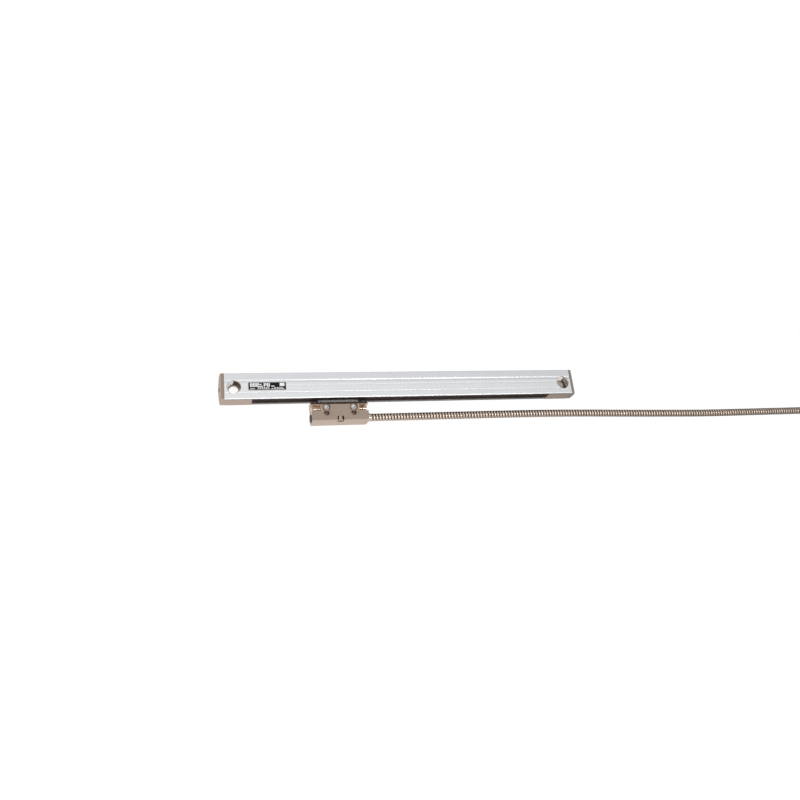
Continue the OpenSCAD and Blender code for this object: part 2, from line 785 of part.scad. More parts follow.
module carriage_frame() {
    half = carriage_length / 2;
    pocket = roller_r + pocket_play;
    pocket_half = roller_w / 2 + pocket_play;
    color([0.25, 0.26, 0.28])
    at_head()
    difference() {
        along_x_half(half) carriage_outline();
        face_roller_places() {
            block([-pocket, -pocket_half, -roller_r - pocket_play], [pocket, pocket_half, pocket + cut]);
            rod_y(pin_d / 2, -face_pin_half, face_pin_half);
        }
        edge_roller_places() rod_z(pin_d / 2, -edge_pin_half, edge_pin_half);
        // scanning window through the back leg, lamp bore through the front leg
        scan_box(0, back_leg_low - cut, back_leg_high + cut);
        translate([0, scan_y, 0]) rod_z(lens_d / 2, front_leg_low - cut, front_leg_high + cut);
        for (x = [-pad_x, pad_x])
            translate([x, pad_y, 0]) rod_z(pad_stem_d / 2, front_leg_low - cut, front_leg_high + cut);
        // seat of the lamp board and of the leaf spring
        block([-7, scan_y - 3, front_leg_high - 0.9], [7, scan_y + 3, front_leg_high + cut]);
        for (side = [-1, 1])
            translate([side * drive_pin_x, 0, z_mid])
                rod_y(drive_pin_d / 2 + drive_play, web_low - cut, web_top + cut);
        // lightening windows between the rollers
        mirrored_x()
            block([7.5, scan_y - 1.5, back_leg_low - cut],
                  [face_roller_x - pocket - 1.2, scan_y + 2.5, back_leg_high + cut]);
    }
}

// box over the scanned tracks, smaller all round by the play
module scan_box(play, z0, z1)
    block([play - scan_w / 2, scan_y - scan_h / 2 + play, z0],
          [scan_w / 2 - play, scan_y + scan_h / 2 - play, z1]);

lens_d = 4;
pad_stem_d = 1.6;
pad_d = 2.4;
pad_gap = 0.1;
spring_t = 0.15;

module scanning_reticle()
    color([0.7, 0.85, 0.85, 0.6])
    at_head()
    scan_box(0.1, back_leg_high - 0.9, back_leg_high - 0.1);

module detector_board()
    color([0.1, 0.35, 0.2])
    at_head() {
        scan_box(0.1, back_leg_low + 0.1, back_leg_low + 0.7);
        for (i = [-1.5 : 1.5])
            block([i * 1.9 - 0.7, scan_y - 0.9, back_leg_low + 0.7],
                  [i * 1.9 + 0.7, scan_y + 0.9, back_leg_low + 1]);
    }

module lamp_board()
    color([0.85, 0.85, 0.8])
    at_head() {
        block([-6.8, scan_y - 2.8, front_leg_high - 0.9], [6.8, scan_y + 2.8, front_leg_high - 0.3]);
        translate([0, scan_y, 0]) rod_z(1.2, front_leg_high - 1.8, front_leg_high - 0.9);
    }

module condenser_lens() {
    dome_r = 3.2;
    color([0.8, 0.9, 0.9, 0.6])
    at_head()
    translate([0, scan_y, front_leg_low])
        intersection() {
            rod_z(lens_d / 2 - 0.03, 0.1, 2);
            translate([0, 0, 1.8 - dome_r]) sphere(r = dome_r, $fn = 64);
        }
}

// from the detector down the back of the carriage, past the flange and along the blade
flex_points = [
    [scan_y + 0.8, back_leg_low + 0.1 - flex_t / 2],
    [scan_y - 0.6, back_leg_low - 0.3],
    [web_low - 0.3, back_leg_low - 0.3],
    [flange_low - 0.4, rail_depth + 0.9],
    [flange_low - 1, z_mid - blade_t / 2 - 0.12],
    [y_slit + 1, z_mid - blade_t / 2 - 0.12],
    [y_slit - 1.5, board_z + board_t + flex_t / 2]];

// ribbon of thickness t along the points, with mitred corners
module ribbon_outline(points, t) {
    last = len(points) - 1;
    sides = [for (i = [0 : last])
        let (a = unit(points[min(i + 1, last)] - points[min(i, last - 1)]),
             b = unit(points[max(i, 1)] - points[max(i - 1, 0)]),
             m = unit(a + b))
        t / 2 / (m * a) * [-m[1], m[0]]];
    polygon(concat([for (i = [0 : last]) points[i] + sides[i]],
                   [for (i = [last : -1 : 0]) points[i] - sides[i]]));
}

module flex_cable()
    color([0.75, 0.5, 0.2])
    at_head()
    along_x_half(flex_w / 2) ribbon_outline(flex_points, flex_t);

module glide_pads()
    color([0.92, 0.92, 0.9])
    at_head()
    for (x = [-pad_x, pad_x])
        translate([x, pad_y, z_mid + glass_half]) {
            rod_z(pad_d / 2, pad_gap, leg_gap - 0.02);
            rod_z(pad_stem_d / 2 - 0.03, leg_gap - 0.1, front_leg_high - z_mid - glass_half);
        }

module pressure_spring()
    color([0.7, 0.7, 0.72])
    at_head()
    difference() {
        block([1 - carriage_length / 2, pad_y - 1.3, front_leg_high],
              [carriage_length / 2 - 1, pad_y + 1.3, front_leg_high + spring_t]);
        translate([0, scan_y, 0]) rod_z(0.7, front_leg_high - cut, front_leg_high + cut);
    }

module roller_pins()
    color([0.8, 0.8, 0.82])
    at_head() {
        face_roller_places()
            rod_y(pin_d / 2, -face_pin_half, face_pin_half);
        edge_roller_places()
            rod_z(pin_d / 2, -edge_pin_half, edge_pin_half);
    }

// ball-bearing roller with its axis along Z
module roller()
    color([0.78, 0.78, 0.8])
    difference() {
        translate([0, 0, -roller_w / 2])
            rotate_extrude($fn = hole_fn)
                polygon([
                    [pin_d / 2 + pin_clearance, 0], [roller_r - 0.15, 0], [roller_r, 0.15],
                    [roller_r, roller_w - 0.15], [roller_r - 0.15, roller_w],
                    [pin_d / 2 + pin_clearance, roller_w]]);
        // shield groove on both faces
        for (side = [-1, 1])
            translate([0, 0, side * roller_w / 2])
                difference() {
                    cylinder(r = roller_r - 0.35, h = 0.2, center = true, $fn = hole_fn);
                    cylinder(r = pin_d / 2 + pin_clearance + 0.2, h = 0.3, center = true, $fn = hole_fn);
                }
    }

module face_roller(x, y) at_head() translate([x, y, face_roller_z]) rotate([-90, 0, 0]) roller();
module edge_roller(x) at_head() translate([x, edge_roller_y, z_mid]) roller();

module face_roller_left() face_roller(-face_roller_x, face_roller_y);
module face_roller_right() face_roller(face_roller_x, face_roller_y);
module face_roller_top() face_roller(0, top_roller_y);
module edge_roller_left() edge_roller(-edge_roller_x);
module edge_roller_right() edge_roller(edge_roller_x);

// ---- conduit, coil and connector ----

function unit(v) = v / norm(v);
function tangent(points, i) =
    unit(points[min(i + 1, len(points) - 1)] - points[max(i - 1, 0)]);

// closed tube through the points, as one polyhedron
module tube(points, d) {
    n = tube_sides;
    m = len(points);
    rings = [for (i = [0 : m - 1])
        let (t = tangent(points, i), side = unit(cross(t, [0, 0, 1])), up = cross(side, t))
        for (k = [0 : n - 1])
            points[i] + d / 2 * (cos(360 * k / n) * side + sin(360 * k / n) * up)];
    walls = [for (i = [0 : m - 2], k = [0 : n - 1])
        [i * n + k, i * n + (k + 1) % n, (i + 1) * n + (k + 1) % n, (i + 1) * n + k]];
    caps = [[for (k = [n - 1 : -1 : 0]) k], [for (k = [0 : n - 1]) (m - 1) * n + k]];
    polyhedron(points = rings, faces = concat(walls, caps));
}

module conduit_run() color([0.62, 0.56, 0.5]) tube(run_points, conduit_d);
module conduit_tail() color([0.62, 0.56, 0.5]) tube(tail_points, conduit_d);

module coil_outline(grow)
    translate([coil_mid_r, (coil_low + coil_high) / 2])
        rounded_rect(-[1, 1] * (coil_half + grow), [1, 1] * (coil_half + grow), conduit_r / 2);

module conduit_coil()
    color([0.62, 0.56, 0.5])
    translate([coil_centre[0], coil_centre[1], 0])
        rotate_extrude($fn = 64) coil_outline(0);

module coil_ties()
    color([0.1, 0.1, 0.1])
    for (angle = tie_angles)
        translate([coil_centre[0], coil_centre[1], 0]) rotate([0, 0, angle - tie_span / 2])
            rotate_extrude(angle = tie_span, $fn = 64)
                difference() {
                    coil_outline(tie_t + tie_play);
                    coil_outline(tie_play);
                }

// the connector is drawn along +X from the rear of its hood
module at_connector()
    translate([connector_x, connector_y, connector_z]) rotate([0, 0, 180]) children();

module connector_hood()
    color([0.55, 0.55, 0.56])
    at_connector()
    difference() {
        intersection() {
            translate([0, 0, -hood_h / 2]) linear_extrude(hood_h)
                polygon([
                    [0, -hood_rear_w / 2], [hood_neck_l, -hood_neck_w / 2], [hood_shoulder, -hood_w / 2],
                    [hood_l, -hood_w / 2], [hood_l, hood_w / 2], [hood_shoulder, hood_w / 2],
                    [hood_neck_l, hood_neck_w / 2], [0, hood_rear_w / 2]]);
            along_x(0, hood_l)
                rounded_rect([-hood_w / 2, -hood_h / 2], [hood_w / 2, hood_h / 2], hood_corner_r);
        }
        block([6, -5, -hood_h / 2 + hood_wall], [hood_l - 8, 5, hood_h / 2 - hood_wall]);
        block([hood_l - 9, -9.5, -5.2], [hood_l + cut, 9.5, 5.2]);
        rod_x(conduit_r - 1, -cut, 7);
        for (side = [-1, 1]) translate([0, side * screw_pitch / 2, 0]) {
            block([hood_l - knob_l - 4.4, -4.2 + (side < 0 ? -4 : 0), -4.2],
                  [hood_l - 4, 4.2 + (side > 0 ? 4 : 0), 4.2]);
            rod_x(screw_d / 2 + 0.1, 10, hood_l + cut);
        }
    }

module connector_ferrule()
    color([0.75, 0.74, 0.72])
    at_connector()
    difference() {
        rod_x(collar_d / 2 + 0.8, -10, 0);
        rod_x(conduit_r - 1, -10 - cut, cut);
    }

module connector_shell()
    color([0.75, 0.76, 0.78])
    at_connector()
    difference() {
        union() {
            along_x(hood_l, hood_l + plate_t)
                rounded_rect([-plate_w / 2, -plate_h / 2], [plate_w / 2, plate_h / 2], 2);
            along_x(hood_l, hood_l + shell_reach) shell_outline(0);
        }
        along_x(hood_l - cut, hood_l + shell_reach + cut) shell_outline(0.5);
        for (side = [-1, 1])
            translate([0, side * screw_pitch / 2, 0]) rod_x(screw_d / 2 + 0.1, hood_l - cut, hood_l + 2);
    }

module shell_outline(wall)
    polygon([
        [-shell_w / 2 + wall, shell_h / 2 - wall], [shell_w / 2 - wall, shell_h / 2 - wall],
        [shell_w / 2 - 1.2 - wall, -shell_h / 2 + wall], [-shell_w / 2 + 1.2 + wall, -shell_h / 2 + wall]]);

module connector_pins()
    color([0.15, 0.15, 0.16])
    at_connector() {
        along_x(hood_l - 4, hood_l + 0.8) shell_outline(0.5);
        for (row = [[5, 1], [4, -1]], i = [0 : row[0] - 1])
            translate([0, (i - (row[0] - 1) / 2) * contact_pitch, row[1] * contact_row / 2])
                rod_x(contact_d / 2, hood_l + 0.7, hood_l + 5.4);
    }

// captive jack screw with a knurled knob, along +X
module thumbscrew(side)
    color([0.7, 0.7, 0.72])
    at_connector()
    translate([hood_l, side * screw_pitch / 2, 0]) {
        rod_x(screw_d / 2, -knob_l - 4, 6);
        difference() {
            rod_x(knob_d / 2, -knob_l - 4.2, -4.2);
            for (k = [0 : 11])
                rotate([30 * k, 0, 0]) translate([0, knob_d / 2 + 0.35, 0])
                    rod_x(0.6, -knob_l - 4.2 - cut, -4.2 + cut);
        }
    }
module thumbscrew_left() thumbscrew(-1);
module thumbscrew_right() thumbscrew(1);

housing();
end_block_left();
end_block_right();
end_seal_left();
end_seal_right();
end_block_screws();
port_plug_screws();
seal_lip_front();
seal_lip_back();
glass_scale();
glass_cushion();
graduation();
reference_marks();
label_plate();
head_block();
head_cover();
cover_screws();
amplifier_board();
arm_blade();
drive_pins();
arm_clamp_screws();
bracket_screws();
lock_screw();
exit_plug();
conduit_ferrule();
carriage_frame();
scanning_reticle();
detector_board();
lamp_board();
condenser_lens();
flex_cable();
pressure_spring();
glide_pads();
roller_pins();
face_roller_left();
face_roller_right();
face_roller_top();
edge_roller_left();
edge_roller_right();
conduit_run();
conduit_coil();
conduit_tail();
coil_ties();
connector_hood();
connector_ferrule();
connector_shell();
connector_pins();
thumbscrew_left();
thumbscrew_right();
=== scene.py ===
import json
import math

import bpy
import numpy as np
from mathutils import Matrix, Vector


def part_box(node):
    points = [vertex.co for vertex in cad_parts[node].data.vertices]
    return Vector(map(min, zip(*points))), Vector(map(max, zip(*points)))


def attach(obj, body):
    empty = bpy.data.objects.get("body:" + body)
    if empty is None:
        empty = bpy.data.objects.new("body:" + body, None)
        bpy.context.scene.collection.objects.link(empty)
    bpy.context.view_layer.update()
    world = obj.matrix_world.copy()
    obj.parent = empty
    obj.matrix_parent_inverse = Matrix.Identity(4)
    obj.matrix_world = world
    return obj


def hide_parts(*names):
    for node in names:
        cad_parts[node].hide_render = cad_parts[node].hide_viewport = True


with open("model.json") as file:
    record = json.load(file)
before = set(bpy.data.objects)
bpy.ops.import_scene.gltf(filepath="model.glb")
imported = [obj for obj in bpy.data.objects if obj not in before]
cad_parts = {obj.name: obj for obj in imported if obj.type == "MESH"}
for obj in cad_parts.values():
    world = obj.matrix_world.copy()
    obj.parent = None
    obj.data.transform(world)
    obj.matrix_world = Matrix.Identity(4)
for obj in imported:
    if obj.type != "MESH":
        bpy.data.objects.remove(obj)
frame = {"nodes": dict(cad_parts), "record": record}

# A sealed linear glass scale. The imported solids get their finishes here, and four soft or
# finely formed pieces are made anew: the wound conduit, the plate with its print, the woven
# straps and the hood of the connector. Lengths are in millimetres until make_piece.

MM = 0.001
NODES = frame["nodes"]
MOUNTS = {mount["name"]: mount for mount in frame["record"]["mounts"]}
SCALE, HEAD = "scale_body", "reading_head"
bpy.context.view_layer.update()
face_finishes = {}  # by piece, which of its finishes each face has


def box_mm(node):
    """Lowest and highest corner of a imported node, to a hundredth of a millimetre."""
    return [[round(v / MM, 2) for v in corner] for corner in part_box(node)]


# ---- camera ----

def set_camera(place, yaw, tilt, roll, lens):
    data = bpy.data.cameras.new("camera")
    data.lens, data.sensor_width = lens, 36
    data.clip_start, data.clip_end = 0.01, 50
    camera = bpy.data.objects.new("camera", data)
    bpy.context.scene.collection.objects.link(camera)
    turns = [Matrix.Rotation(math.radians(angle), 3, axis)
             for angle, axis in ((roll, "Z"), (tilt, "X"), (yaw, "Y"))]
    from_camera = (turns[0] @ turns[1] @ turns[2]).transposed()
    camera.matrix_world = Matrix.Translation(Vector(place) * MM) @ from_camera.to_4x4()
    bpy.context.scene.camera = camera


set_camera((-176.8, -236.3, 625.4), yaw=15.41, tilt=-19.28, roll=6.32, lens=33.85)


# ---- meshes ----

def make_piece(name, verts, faces, body, finishes=None, smooth=False):
    """A mesh object of points in millimetres, riding on a body."""
    mesh = bpy.data.meshes.new(name)
    mesh.from_pydata([tuple(v) for v in np.array(verts) * MM], [], faces)
    if smooth:
        mesh.shade_smooth()
    mesh.update()
    piece = bpy.data.objects.new(name, mesh)
    bpy.context.scene.collection.objects.link(piece)
    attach(piece, body)
    if finishes is not None:
        face_finishes[name] = finishes
    return piece


def band(a, b, n, faces):
    """Quads between two closed rows of n vertices that begin at a and at b."""
    faces += [(a + k, a + (k + 1) % n, b + (k + 1) % n, b + k) for k in range(n)]


def skin(first, n, rows, faces):
    """A closed surface over rows of n vertices."""
    last = first + (rows - 1) * n
    for a in range(first, last, n):
        band(a, a + n, n, faces)
    faces += [tuple(first + k for k in reversed(range(n))), tuple(last + k for k in range(n))]


def stack(rings, verts, faces):
    """A closed solid of outlines with equal counts, each given with its height."""
    first = len(verts)
    for outline, z in rings:
        verts += [(x, y, z) for x, y in outline]
    skin(first, len(rings[0][0]), len(rings), faces)


def frame_round(outer, inner, low, high, verts, faces, turn=lambda a, b, c: (a, b, c)):
    """A closed frame between two outlines with equal counts, turned as its axes need."""
    first, n = len(verts), len(outer)
    for outline, level in ((outer, low), (outer, high), (inner, high), (inner, low)):
        verts += [turn(a, b, level) for a, b in outline]
    for i in range(4):
        band(first + i * n, first + (i + 1) % 4 * n, n, faces)


def rounded_outline(x, y, w, h, r, inset=0, steps=5):
    """Corner arcs of a rounded rectangle moved inwards, anticlockwise from its lower left."""
    x, y, w, h, r = x + inset, y + inset, w - 2 * inset, h - 2 * inset, r - inset
    points = []
    for cx, cy, start in ((x + r, y + r, 180), (x + w - r, y + r, 270),
                          (x + w - r, y + h - r, 0), (x + r, y + h - r, 90)):
        for k in range(steps + 1):
            a = math.radians(start + 90 * k / steps)
            points.append((cx + r * math.cos(a), cy + r * math.sin(a)))
    return points


def softened(points, inset, r=0.5):
    """The outline moved inwards, with three points at every softened corner."""
    p = np.array(points, float)
    edges = p - np.roll(p, 1, axis=0)
    inward = np.column_stack([-edges[:, 1], edges[:, 0]])
    inward /= np.linalg.norm(edges, axis=1)[:, None]
    after = np.roll(inward, -1, axis=0)
    p = p + inset * (inward + after) / (1 + (inward * after).sum(axis=1))[:, None]
    soft = []
    for before, corner, behind in zip(np.roll(p, 1, axis=0), p, np.roll(p, -1, axis=0)):
        a, b = ((q - corner) / np.linalg.norm(q - corner) * r for q in (before, behind))
        soft += [corner + a, corner + (a + b) / 4, corner + b]
    return [tuple(q) for q in soft]


def rectangle(x0, x1, y0, y1):
    return [(x0, y0), (x1, y0), (x1, y1), (x0, y1)]


def smooth_route(points, step, per_span=12):
    """Points a step apart along a smooth curve through the given ones, and its length."""
    p = np.array(points, float)
    p = np.vstack([2 * p[0] - p[1], p, 2 * p[-1] - p[-2]])
    fine = []
    for a, b, c, d in zip(p, p[1:], p[2:], p[3:]):
        for t in np.linspace(0, 1, per_span, endpoint=False):
            fine.append(0.5 * (2 * b + (c - a) * t + (2 * a - 5 * b + 4 * c - d) * t ** 2
                               + (3 * b - a - 3 * c + d) * t ** 3))
    fine.append(p[-2])
    fine = np.array(fine)
    steps = np.linalg.norm(np.diff(fine, axis=0), axis=1)
    along = np.concatenate([[0], np.cumsum(steps)])
    length = along[-1]
    marks = np.linspace(0, length, max(2, round(length / step) + 1))
    return np.column_stack([np.interp(marks, along, fine[:, i]) for i in range(3)]), length


def frames_along(route):
    """Side and up directions at each point, turned as little as possible from one to the next."""
    ahead = np.gradient(route, axis=0)
    ahead /= np.linalg.norm(ahead, axis=1)[:, None]
    side = np.cross(ahead[0], (0, 0, 1))
    sides = []
    for t in ahead:
        side = side - t * (side @ t)
        side /= np.linalg.norm(side)
        sides.append(side)
    sides = np.array(sides)
    return sides, np.cross(sides, ahead)


def wound_mesh(route, length, pitch, heights, radius, depth, around):
    """A tube wound from one strip: each row of vertices follows the strip's helix, so its edges
    and its seam are true helices. Heights gives the strip's section as phase and height."""
    marks = np.linspace(0, length, len(route))
    sides, ups = frames_along(route)
    rows, turns = len(heights), math.ceil(length / pitch) + 1
    phase, high = (np.tile(v, turns) for v in zip(*heights))
    start = (np.repeat(np.arange(turns), rows) + phase) * pitch
    k = np.arange(around)
    s = np.clip(start[:, None] - pitch * k / around, 0, length)
    at, side, up = (np.stack([np.interp(s, marks, v[:, i]) for i in range(3)], axis=-1)
                    for v in (route, sides, ups))
    angle = (2 * math.pi * k / around)[None, :, None]
    out = np.cos(angle) * side + np.sin(angle) * up
    out /= np.linalg.norm(out, axis=-1)[:, :, None]
    verts = (at + (radius - depth * (1 - high))[:, None, None] * out).reshape(-1, 3)
    last, faces, seam = turns * rows - 1, [], []

    def corner(i, k):
        """The next vertex after a row's last one begins the row one turn before."""
        i, k = (i, k) if k < around else (i - rows, 0)
        return max(0, min(i, last)) * around + k

    for i in range(last + rows):
        for k in range(around):
            face = [corner(i, k), corner(i + 1, k), corner(i + 1, k + 1), corner(i, k + 1)]
            face = tuple(dict.fromkeys(face))
            if len(face) > 2:
                faces.append(face)
                seam.append(i % rows in (0, rows - 1))
    faces += [tuple(range(around)), tuple(last * around + k for k in reversed(range(around)))]
    return verts, faces, seam + [False, False]


# ---- label ----

# blank blocks in place of print, as x and y from the label's upper left, width and height
LABEL_BLOCKS = (
    [(1.6 + 1.3 * i, 0.9, 1.0, h) for i, h in enumerate((3.5, 2.2, 3.5, 2.2, 3.5, 2.2))]
    + [(2.75, 3.45, 1.35, 0.95), (5.35, 3.45, 1.35, 0.95), (8.0, 3.45, 4.4, 0.9)]
    + [(9.5, 1.7, 1.9, 0.9)]
    + [(13.2 + 1.4 * i, 0.9, 1.0, h) for i, h in enumerate((3.4, 2.4, 3.4, 3.4))]
    + [(19.6, 3.5, 2.6, 0.8), (26.8, 0.85, 4.1, 3.1)]
    + [(7.9 + 1.7 * i, 4.75, 1.35, 0.55) for i in range(6)]
    + [(1.5, 5.75, 4.2, 0.6)] + [(8.0 + 1.75 * i, 5.8, 1.4, 0.6) for i in range(6)]
    + [(22.2 + 1.9 * i, 5.0, 1.5, 0.5) for i in range(4)]
    + [(19.4 + 2.3 * i, 5.9, 1.9, 0.6) for i in range(5)])


def build_label():
    """A thin black plate with rounded corners, a pale edge line and raised blank blocks."""
    (x, y, z), (right, top, _) = box_mm("label_plate")
    w, h = right - x, top - y
    sunk, proud = z + 0.17, z + 0.2  # the print begins inside the plate and stands on it
    verts, faces = [], []
    stack([(rounded_outline(x, y, w, h, 0.7, inset), z + up)
           for inset, up in ((0, 0), (0, 0.15), (0.06, 0.19))], verts, faces)
    plate_faces = len(faces)
    outer, inner = (rounded_outline(x, y, w, h, 0.75, inset) for inset in (0.1, 0.3))
    frame_round(outer, inner, sunk, proud, verts, faces)
    for bx, by, bw, bh in LABEL_BLOCKS:
        stack([(rounded_outline(x + bx, top - by - bh, bw, bh, 0.12, inset, 2), level)
               for inset, level in ((0, sunk), (0, proud), (0.03, proud + 0.01))], verts, faces)
    finishes = [0] * plate_faces + [1] * (len(faces) - plate_faces)
    piece = make_piece("label_with_blocks", verts, faces, SCALE, finishes)
    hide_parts("label_plate")
    return piece


# ---- armoured conduit ----

CONDUIT_D = 7.1
COIL_LOW, COIL_HIGH = box_mm("conduit_coil")
COIL_X, COIL_Y = ((COIL_LOW[i] + COIL_HIGH[i]) / 2 for i in (0, 1))
# middles of the coil's rows, from its outer side inwards and from below upwards
COIL_ROWS = [(i + 0.5) * CONDUIT_D for i in range(3)]
COIL_RADII = [round((COIL_HIGH[0] - COIL_LOW[0]) / 2 - depth, 2) for depth in COIL_ROWS]
COIL_LAYERS = [round(COIL_LOW[2] + depth, 2) for depth in COIL_ROWS]
RUN = [
    (-35.6, -28.1, 7.6), (-24, -28.1, 7.6), (-12, -28.1, 7.6), (4, -28.1, 7.5), (20, -28, 7.3),
    (38, -27.9, 7), (56, -27.8, 6.7), (74, -27.7, 6.4), (92, -27.6, 6), (110, -27.5, 5.6),
    (128, -27.5, 5.2), (146, -27.6, 4.8), (164, -27.8, 4.5), (182, -28.1, 4.2), (200, -28.5, 3.9),
    (220, -29, 3.7), (240, -29.5, 3.6), (262, -30, 3.6), (284, -30.5, 3.6), (308, -30.9, 3.6),
    (332, -31, 3.6), (356, -31, 3.6), (380, -31, 3.6), (404, -31, 3.6), (428, -31, 3.8),
    (452, -31, 4.1), (476, -31, 4.4), (494, -31, 4.45)]
TAIL = [
    (510.2, -15.1, 19), (519.4, -10, 19.7), (526.7, -2.2, 21),
    (531.4, 7.7, 22.5), (533, 18.7, 24.2), (531.6, 27.7, 25.9), (527.5, 35.7, 27.5),
    (521, 42.2, 28.7), (513, 46.3, 29.5), (504, 47.7, 29.75), (502, 47.7, 29.75)]
# the strip's section over one pitch: a rounded nose, a long back and the seam it slides into
STRIP = [(0, 0), (0.035, 0.66), (0.14, 1), (0.5, 0.91), (0.79, 0.46)]
STRIP_PITCH, STRIP_DEPTH, STRIP_SIDES = 2.8, 0.75, 18


def coil_points(per_turn=48, change=0.3):
    """The turns lie beside each other in three layers; each steps to the next in its last part."""
    order = [(r, z) for i, z in enumerate(COIL_LAYERS)
             for r in (COIL_RADII if i % 2 == 0 else COIL_RADII[::-1])]
    order.append(order[-1])
    points = []
    for (r0, z0), (r1, z1) in zip(order, order[1:]):
        for k in range(per_turn):
            share = max(0, (k / per_turn - 1 + change) / change)
            share = share * share * (3 - 2 * share)
            angle = -math.pi / 2 + 2 * math.pi * k / per_turn
            r = r0 + (r1 - r0) * share
            points.append((COIL_X + r * math.cos(angle), COIL_Y + r * math.sin(angle),
                           z0 + (z1 - z0) * share))
    r, z = order[-1]
    points.append((COIL_X, COIL_Y - r, z))
    return points


def build_conduit():
    """Interlocked strip wound along the whole route, from the head's ferrule to the hood's."""
    route, length = smooth_route(RUN + coil_points() + TAIL, step=0.5)
    verts, faces, seam = wound_mesh(route, length, STRIP_PITCH, STRIP, CONDUIT_D / 2,
                                    STRIP_DEPTH, STRIP_SIDES)
    piece = make_piece("armoured_conduit", verts, faces, HEAD,
                       np.array(seam, int), smooth=True)
    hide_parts("conduit_run", "conduit_coil", "conduit_tail")
    return piece


# ---- straps round the coil ----

STRAP_WIDTH, STRAP_T = 10, 0.7
STRAP_PLAY = 0.05  # between the bundle of turns and a strap
STRAP_ANGLES = (60, 200)
# places along the lap, as shares of half the bundle's width from its middle
LAP_SHARES = (0.12, 0.25, 0.4, 0.52, 0.62)


def loop_path(half, corner, steps=8):
    """Points and outward directions round a rounded square, from the middle of its top."""
    flat = half - corner
    points = []
    for cx, cz, start in ((flat, flat, 90), (flat, -flat, 0),
                          (-flat, -flat, -90), (-flat, flat, -180)):
        for k in range(steps + 1):
            a = math.radians(start - 90 * k / steps)
            out = (math.cos(a), math.sin(a))
            points.append(((cx + corner * out[0], cz + corner * out[1]), out))
    up = (0, 1)
    middle = ((0, half), up)
    to_corner = [((flat * k / 4, half), up) for k in (1, 2, 3)]
    from_corner = [((-flat * k / 4, half), up) for k in (3, 2, 1)]
    return [middle] + to_corner + points + from_corner + [middle]


def strap_path():
    """One turn round the bundle and a lap lying on its beginning: point, direction and lift."""
    half = len(COIL_ROWS) * CONDUIT_D / 2 + STRAP_PLAY
    turn = [(p, out, 0) for p, out in loop_path(half, CONDUIT_D / 2 + STRAP_PLAY)]
    lap = [((half * share, half), (0, 1), min(1, share * 4) * (STRAP_T + 0.02))
           for share in LAP_SHARES]
    return turn[:-1] + [((0, half), (0, 1), 0.1)] + lap


def build_straps():
    """Two woven straps with thicker edges, each laid round the coil's turns."""
    half, edge, flat, sunk = STRAP_WIDTH / 2, 0.2, 2, 0.04
    low = [(-half, edge), (edge - half, 0), (-flat, sunk),
           (flat, sunk), (half - edge, 0), (half, edge)]
    section = low + [(along, STRAP_T - up) for along, up in reversed(low)]
    middle_r, middle_z = COIL_RADII[1], COIL_LAYERS[1]
    path = strap_path()
    verts, faces = [], []
    for angle in STRAP_ANGLES:
        first = len(verts)
        for (r, z), (dr, dz), lift in path:
            for along, up in section:
                a = math.radians(angle) + along / middle_r
                reach = middle_r + r + (up + lift) * dr
                verts.append((COIL_X + reach * math.cos(a), COIL_Y + reach * math.sin(a),
                              middle_z + z + (up + lift) * dz))
        skin(first, len(section), len(path), faces)
    piece = make_piece("woven_straps", verts, faces, HEAD, smooth=True)
    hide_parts("coil_ties")
    return piece


# ---- connector hood ----

def both_sides(side):
    """A closed outline from its upper half."""
    return [(x, -y) for x, y in side] + side[::-1]


# seen from above, from the rear face forwards; the middle leaves room for the knobs
HOOD_REAR = [(0, 5.5), (9, 7), (16, 15.5)]
HOOD_OUTLINE = both_sides(HOOD_REAR + [(36, 15.5)])
HOOD_MIDDLE = both_sides(HOOD_REAR + [(23.6, 15.5), (23.6, 8.3), (31.4, 8.3)])
# inset and height above the parting plane of each ring
LID_RINGS = [(0, 4.2), (0, 6.7), (0.25, 7.25), (0.8, 7.5), (2.3, 7.5), (2.7, 7.1)]
MIDDLE_RINGS = [(0.35, 0.1), (0, 0.45), (0, 4.2)]
# the parting line shows as a recess between the half shells
LINE_INSET, LINE_HALF = 0.7, 0.3
# walls beside the shell, from back to front, and their holes: near side, far side, half height
WALL_X, WALL, WALL_HOLE = (32, 36), (9.5, 15.5, 4.2), (10.9, 14.1, 1.6)
# grip ribs on the sloping sides beside the neck, their section as along the slope and out
SLOPE = (0.636, 0.772)
RIB_SECTION = ((-0.5, -0.4), (-0.3, 0.35), (0.3, 0.35), (0.5, -0.4))
RIB_COUNT, RIB_FIRST, RIB_PITCH, RIB_HALF = 5, 1.9, 1.8, 5.4
SCREW_X, SCREW_Y, SCREW_SIDES = 20.5, 10.2, 24


def add_ribs(sign, verts, faces):
    """Grip ribs on one sloping side."""
    neck = np.array((HOOD_REAR[1][0], sign * -HOOD_REAR[1][1]))
    along = np.array((SLOPE[0], sign * -SLOPE[1]))
    out = np.array((-SLOPE[1], sign * -SLOPE[0]))
    for k in range(RIB_COUNT):
        middle = neck + along * (RIB_FIRST + RIB_PITCH * k)
        corners = [tuple(middle + along * a + out * o) for a, o in RIB_SECTION][::sign]
        stack([(corners, z) for z in (-RIB_HALF, RIB_HALF)], verts, faces)


def add_screw(sign, y, verts, faces):
    """The domed head of a screw with a cross recess."""
    angles = [2 * math.pi * k / SCREW_SIDES for k in range(SCREW_SIDES)]
    rim, dome = [2.0] * SCREW_SIDES, [1.6] * SCREW_SIDES
    cross = [1.2 if abs(math.remainder(a, math.pi / 2)) < 0.3 else 0.45 for a in angles]
    rings = [(rim, 7.0), (rim, 7.25), (dome, 7.42), (cross, 7.42), (cross, 7.12)]
    stack([([(SCREW_X + r * math.cos(a), y + r * math.sin(a)) for a, r in zip(angles, radii)],
            sign * z) for radii, z in rings[::sign]], verts, faces)


